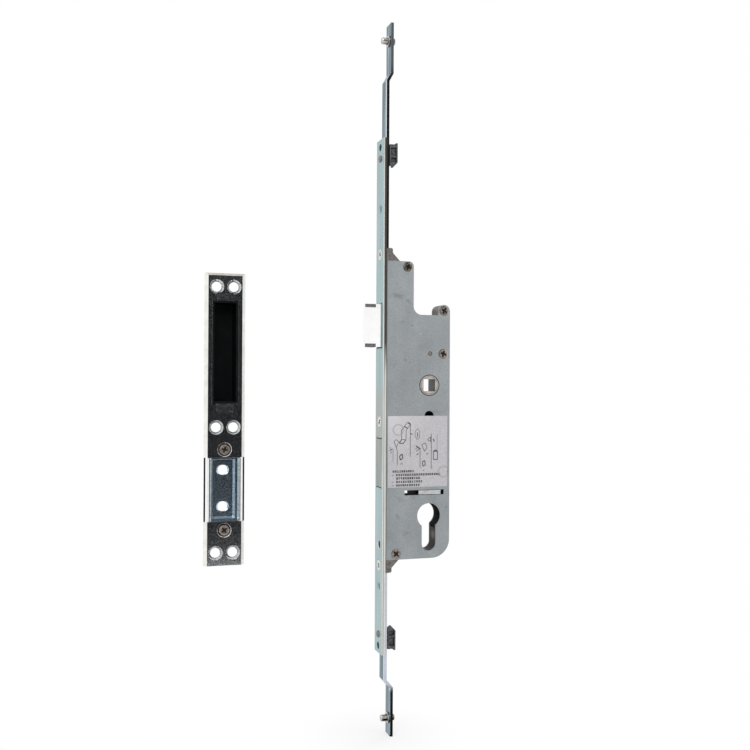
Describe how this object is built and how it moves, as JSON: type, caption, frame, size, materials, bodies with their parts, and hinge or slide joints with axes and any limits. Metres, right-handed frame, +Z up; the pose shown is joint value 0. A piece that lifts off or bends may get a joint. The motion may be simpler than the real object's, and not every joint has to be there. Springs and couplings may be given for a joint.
{
  "type": "multipoint door lock",
  "caption": "Mortice door lock with a long faceplate, latch, deadbolt and two drive rods, and its strike plate with dust box and adjustable latch keep.",
  "frame": {"origin": "on the axis of the square spindle hole, halfway through the thickness of the case", "axes": "+Z up along the faceplate; -X out of the door's edge, the way the bolts are thrown; -Y out of the screwed cover, along the spindle"},
  "size_m": [0.1733, 0.0193, 0.4998],
  "materials": {
    "zinc_plate": "zinc plated, blue passivated",
    "rod_zinc": "zinc plated",
    "case_steel": "matt zinc grey",
    "nickel_steel": "nickel plated",
    "inner_steel": "bright zinc",
    "spring_steel": "oiled spring steel",
    "pinion_steel": "machined, yellow passivated",
    "cast_zinc": "zinc die casting, as cast",
    "dark_cast": "dark zinc die casting",
    "cast_follower": "zinc die casting, tumbled",
    "bright_nickel": "bright nickel",
    "bolt_nickel": "nickel plated",
    "blue_zinc": "zinc plated, blue passivated",
    "dark_pad": "moulded, textured",
    "black_plastic": "moulded, black",
    "sticker": "printed film, matt"
  },
  "bodies": {
    "lock_case": {"faceplate": "zinc_plate", "faceplate_screws": "nickel_steel", "case_body": "case_steel", "case_cover": "case_steel", "cover_screws": "nickel_steel", "spacer_posts": "inner_steel", "top_end_block": "cast_zinc", "bottom_end_block": "cast_zinc", "centre_block": "cast_zinc", "top_guide_block": "dark_cast", "bottom_guide_block": "dark_cast", "guide_rivets": "zinc_plate", "cylinder_cradle": "cast_zinc", "label": "sticker", "lever_pivot": "nickel_steel", "pinion_axle": "inner_steel", "spring_stop": "inner_steel", "drag_spring": "spring_steel", "follower_spring": "spring_steel", "latch_spring": "spring_steel", "strike_plate": "bright_nickel", "dust_box": "black_plastic"},
    "follower": {"follower": "cast_follower", "drive_pin": "inner_steel"},
    "lower_drive": {"lower_rod": "rod_zinc", "lower_pin": "inner_steel", "lower_slide": "inner_steel"},
    "upper_drive": {"upper_rod": "rod_zinc", "upper_pin": "inner_steel", "upper_slide": "inner_steel"},
    "pinion": {"reversing_pinion": "pinion_steel"},
    "latch": {"latch_bolt": "bright_nickel", "latch_pads": "dark_pad", "latch_tail": "inner_steel"},
    "latch_lever": {"latch_lever": "inner_steel"},
    "deadbolt": {"deadbolt": "bolt_nickel", "deadbolt_tail": "inner_steel", "tail_rivets": "inner_steel"},
    "latch_keep": {"latch_keep": "blue_zinc", "keep_screws": "nickel_steel"}
  },
  "joints": [
    {"name": "drive_slide", "type": "slide", "parent": "lock_case", "child": "upper_drive", "axis": [0, 0, 1], "range_m": [0, 0.01368]},
    {"name": "lower_drive_slide", "type": "slide", "parent": "lock_case", "child": "lower_drive", "axis": [0, 0, -1], "range_m": [0, 0.01368]},
    {"name": "follower_turn", "type": "hinge", "parent": "lock_case", "child": "follower", "pos_m": [0, 0, 0], "axis": [0, -1, 0], "range_deg": [0, 40.01], "deforming": ["follower_spring"]},
    {"name": "pinion_turn", "type": "hinge", "parent": "lock_case", "child": "pinion", "pos_m": [-0.02291, 0, -0.018], "axis": [0, 1, 0], "range_deg": [0, 174.24]},
    {"name": "latch_slide", "type": "slide", "parent": "lock_case", "child": "latch", "axis": [1, 0, 0], "range_m": [0, 0.013], "stiffness_N_per_m": 300, "springref_m": -0.01, "deforming": ["latch_spring"]},
    {"name": "latch_lever_turn", "type": "hinge", "parent": "lock_case", "child": "latch_lever", "pos_m": [0.0005, 0, 0.0224], "axis": [0, 1, 0], "range_deg": [0, 35.82]},
    {"name": "deadbolt_throw", "type": "slide", "parent": "lock_case", "child": "deadbolt", "axis": [-1, 0, 0], "range_m": [0, 0.0105]},
    {"name": "keep_adjust", "type": "slide", "parent": "lock_case", "child": "latch_keep", "axis": [1, 0, 0], "range_m": [-0.0008, 0.0008]}
  ],
  "couplings": [
    {"joint": "follower_turn", "follows": "drive_slide", "rad_per_m": 51.03},
    {"joint": "lower_drive_slide", "follows": "drive_slide", "ratio": 1},
    {"joint": "pinion_turn", "follows": "drive_slide", "rad_per_m": 222.22},
    {"joint": "latch_lever_turn", "follows": "latch_slide", "rad_per_m": 48.059}
  ]
}
